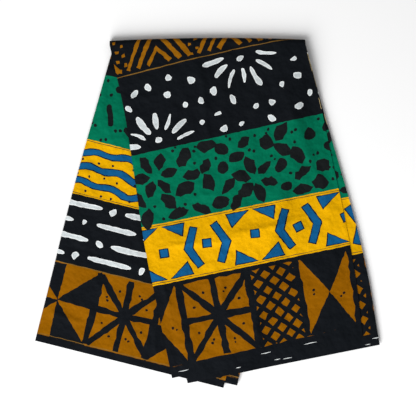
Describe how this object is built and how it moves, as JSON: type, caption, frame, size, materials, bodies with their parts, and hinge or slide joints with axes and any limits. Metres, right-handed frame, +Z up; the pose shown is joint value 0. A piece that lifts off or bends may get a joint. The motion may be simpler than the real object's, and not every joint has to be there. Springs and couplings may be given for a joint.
{
  "type": "folded african wax print fabric",
  "caption": "Folded length of African wax print cotton lying flat: a strip of layers folded over at the top, its flaps spread like a fan and its layers stepped at the edges.",
  "frame": {"origin": "middle of the outline, on the table that the cloth lies on", "axes": "+X to the right and +Y towards the top fold as seen from above, +Z up from the table"},
  "size_m": [0.6108, 0.6202, 0.0159],
  "materials": {
    "printed_cotton": "crisp wax-printed plain-weave cotton with a slight starch sheen",
    "layer_edges": "folded edges of the same printed cotton, one above the other"
  },
  "bodies": {
    "root": {"hidden_layers": "layer_edges", "back_second_sheet": "printed_cotton", "back_cover_sheet": "printed_cotton", "front_second_sheet": "printed_cotton", "front_cover_sheet": "printed_cotton"}
  },
  "joints": []
}
